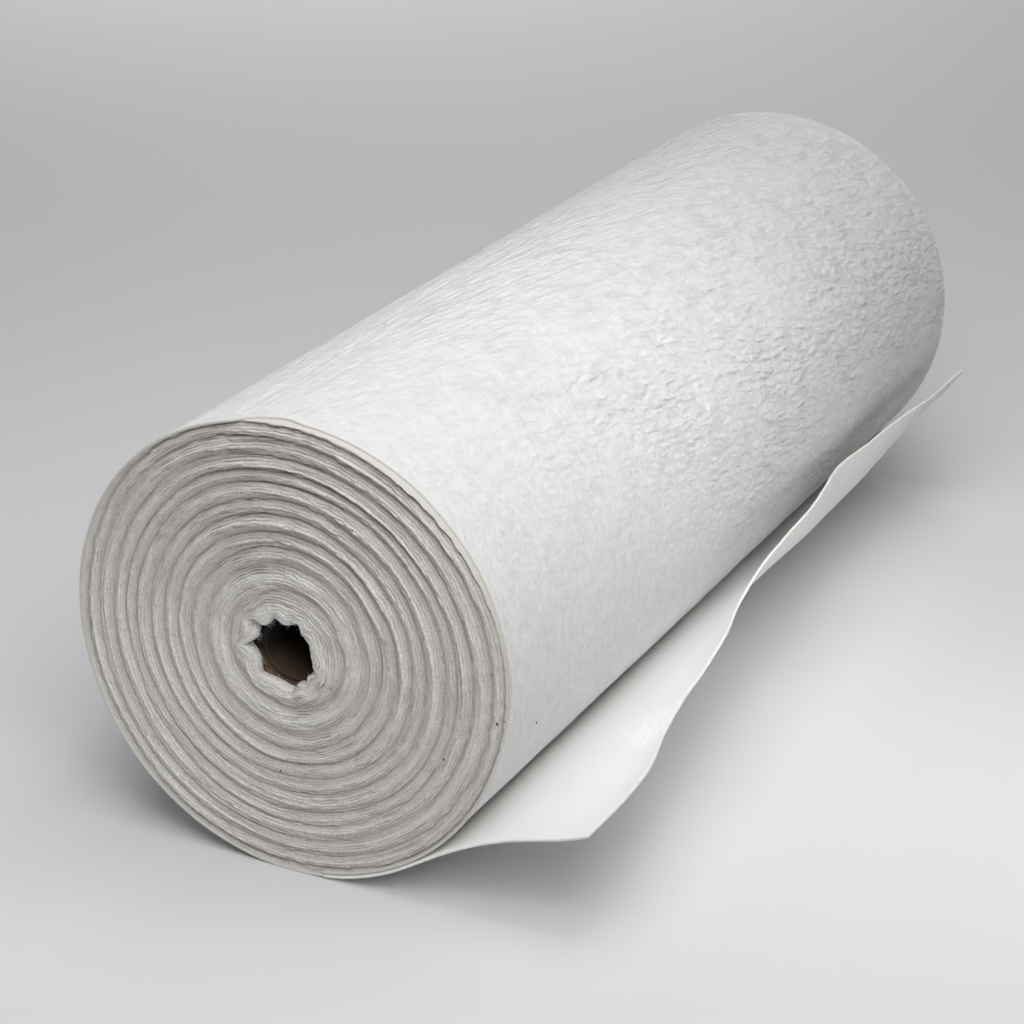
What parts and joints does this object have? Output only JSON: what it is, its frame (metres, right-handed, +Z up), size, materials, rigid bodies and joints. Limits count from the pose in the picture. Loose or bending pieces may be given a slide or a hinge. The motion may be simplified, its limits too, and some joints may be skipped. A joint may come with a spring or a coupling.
{
  "type": "roll of painters fleece",
  "caption": "Wide roll of white felt floor covering with a film side, wound on a cardboard core, with its loose end lifting off the floor.",
  "frame": {"origin": "middle of the flat spot on which the roll rests, on the floor, straight under the middle of the roll's axis", "axes": "+Y along the roll's axis, +Z up, +X toward the loose end"},
  "size_m": [0.4516, 1, 0.3762],
  "materials": {
    "cardboard": "plain brown wound board, matt",
    "needled_fleece": "white needled polyester felt, matt and finely wrinkled",
    "film_side": "white felt laminated with a thin satin film"
  },
  "bodies": {
    "root": {"core_tube": "cardboard", "fleece_roll": "needled_fleece", "loose_end": "film_side"}
  },
  "joints": []
}
